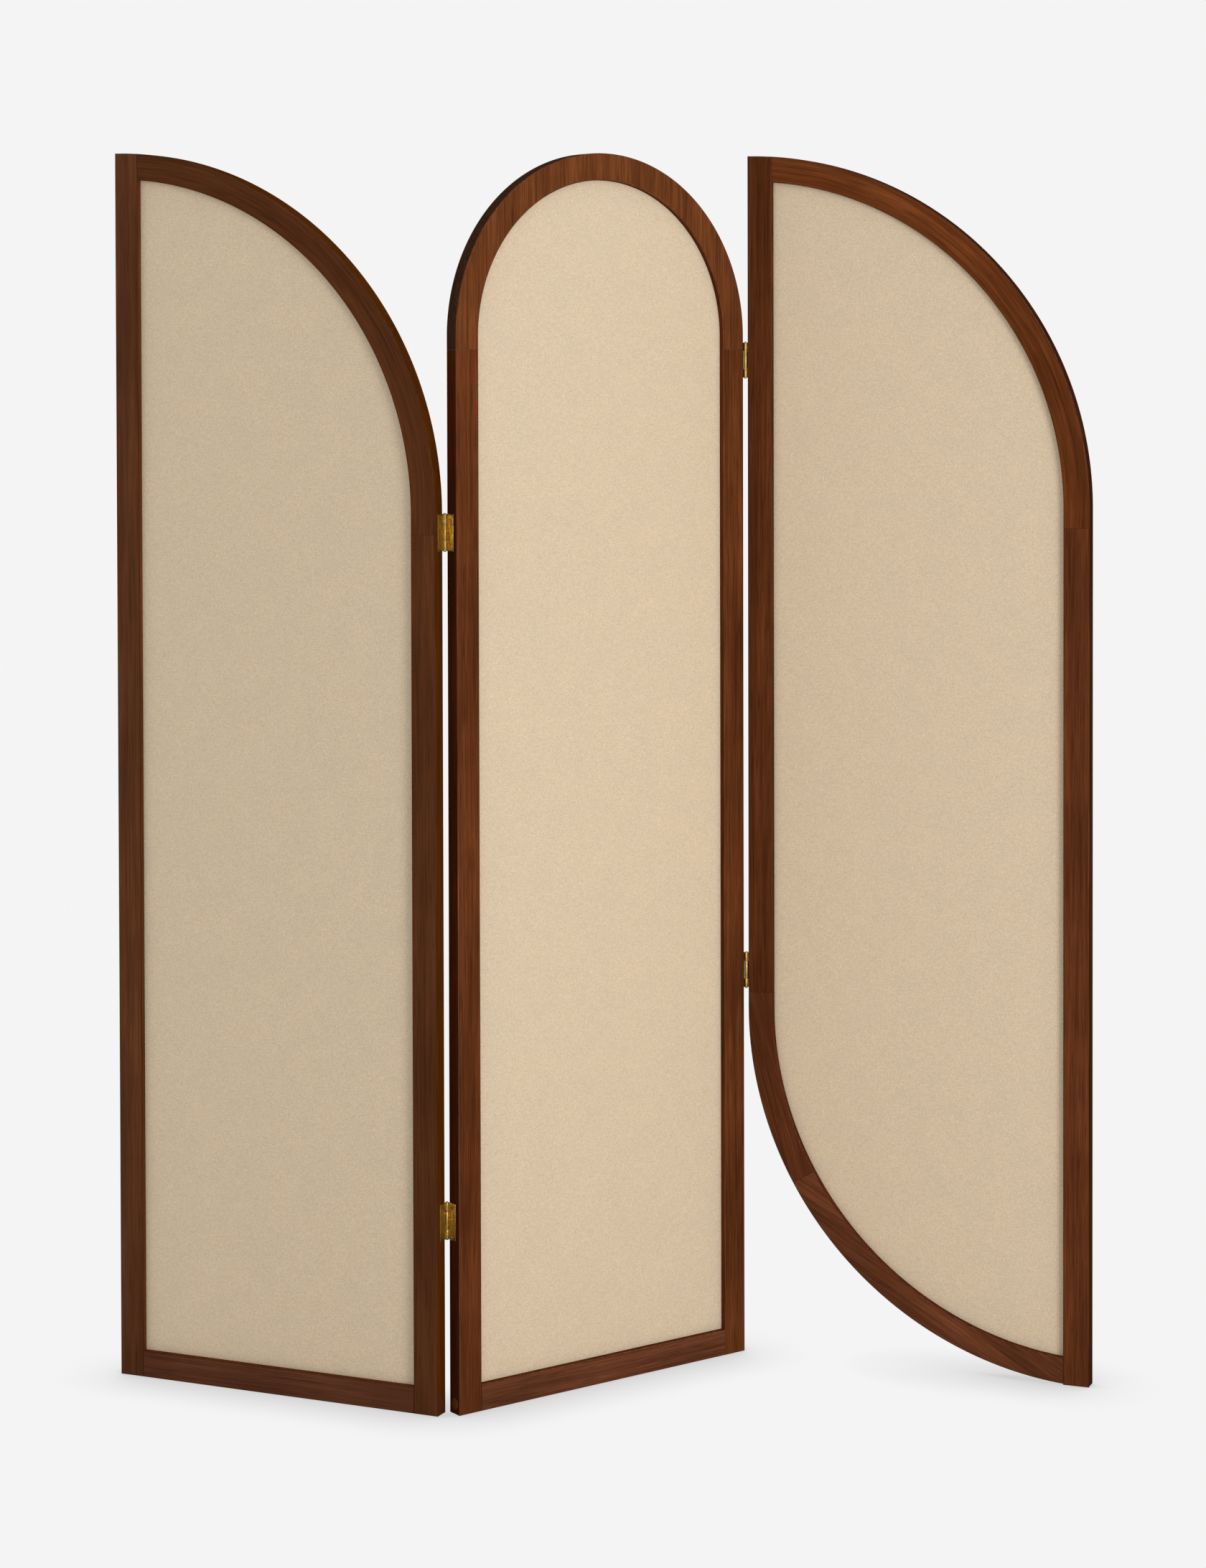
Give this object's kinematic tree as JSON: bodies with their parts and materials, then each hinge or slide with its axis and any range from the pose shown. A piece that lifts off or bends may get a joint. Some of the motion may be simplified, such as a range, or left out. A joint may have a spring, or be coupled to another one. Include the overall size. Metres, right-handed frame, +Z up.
{
  "type": "folding screen",
  "caption": "Free-standing folding screen of arched and quarter-round wood frames with linen-covered infill, joined by brass butt hinges.",
  "frame": {"origin": "centre of the bounding box of the screen as it stands open in the picture, at floor level", "axes": "+Z up; -Y towards the front, where the picture is taken from; +X to the viewer's right"},
  "size_m": [1.408, 0.3348, 1.778],
  "materials": {
    "walnut_dark": "dark walnut stain, satin lacquer",
    "walnut_warm": "red-brown walnut stain, satin lacquer",
    "walnut_mid": "brown walnut stain, satin lacquer",
    "hardboard": "raw backing board, hidden under the linen",
    "linen": "oatmeal plain-weave linen with slubs",
    "brass": "satin brass",
    "steel": "plain steel wood screws"
  },
  "bodies": {
    "middle": {"middle_left_stile": "walnut_warm", "middle_right_stile": "walnut_warm", "middle_arch_rail": "walnut_warm", "middle_bottom_rail": "walnut_warm", "middle_board": "hardboard", "middle_front_linen": "linen", "middle_back_linen": "linen", "middle_left_rail_screw": "steel", "middle_left_screw_plug": "walnut_warm", "middle_right_rail_screw": "steel", "middle_right_screw_plug": "walnut_warm", "left_lower_hinge_mid_knuckle_leaf": "brass", "left_lower_hinge_screw_3": "brass", "left_lower_hinge_screw_4": "brass", "left_upper_hinge_mid_knuckle_leaf": "brass", "left_upper_hinge_screw_3": "brass", "left_upper_hinge_screw_4": "brass", "right_lower_hinge_end_knuckle_leaf": "brass", "right_lower_hinge_screw_1": "brass", "right_lower_hinge_screw_2": "brass", "right_lower_hinge_pin": "brass", "right_upper_hinge_end_knuckle_leaf": "brass", "right_upper_hinge_screw_1": "brass", "right_upper_hinge_screw_2": "brass", "right_upper_hinge_pin": "brass"},
    "left": {"left_outer_stile": "walnut_dark", "left_inner_stile": "walnut_dark", "left_curved_rail": "walnut_dark", "left_bottom_rail": "walnut_dark", "left_board": "hardboard", "left_front_linen": "linen", "left_back_linen": "linen", "left_outer_rail_screw": "steel", "left_outer_screw_plug": "walnut_dark", "left_inner_rail_screw": "steel", "left_inner_screw_plug": "walnut_dark", "left_lower_hinge_end_knuckle_leaf": "brass", "left_lower_hinge_screw_1": "brass", "left_lower_hinge_screw_2": "brass", "left_lower_hinge_pin": "brass", "left_upper_hinge_end_knuckle_leaf": "brass", "left_upper_hinge_screw_1": "brass", "left_upper_hinge_screw_2": "brass", "left_upper_hinge_pin": "brass"},
    "right": {"right_inner_stile": "walnut_mid", "right_outer_stile": "walnut_mid", "right_curved_rail": "walnut_mid", "right_foot_rail_upper": "walnut_mid", "right_foot_rail_lower": "walnut_mid", "right_board": "hardboard", "right_front_linen": "linen", "right_back_linen": "linen", "right_lower_hinge_mid_knuckle_leaf": "brass", "right_lower_hinge_screw_3": "brass", "right_lower_hinge_screw_4": "brass", "right_upper_hinge_mid_knuckle_leaf": "brass", "right_upper_hinge_screw_3": "brass", "right_upper_hinge_screw_4": "brass"}
  },
  "joints": [
    {"name": "left_fold", "type": "hinge", "parent": "middle", "child": "left", "pos_m": [-0.21965, -0.14556, 0.889], "axis": [0, 0, -1], "range_deg": [-66, 118]},
    {"name": "right_fold", "type": "hinge", "parent": "middle", "child": "right", "pos_m": [0.21267, 0.14503, 0.889], "axis": [0, 0, -1], "range_deg": [-64, 120]}
  ]
}
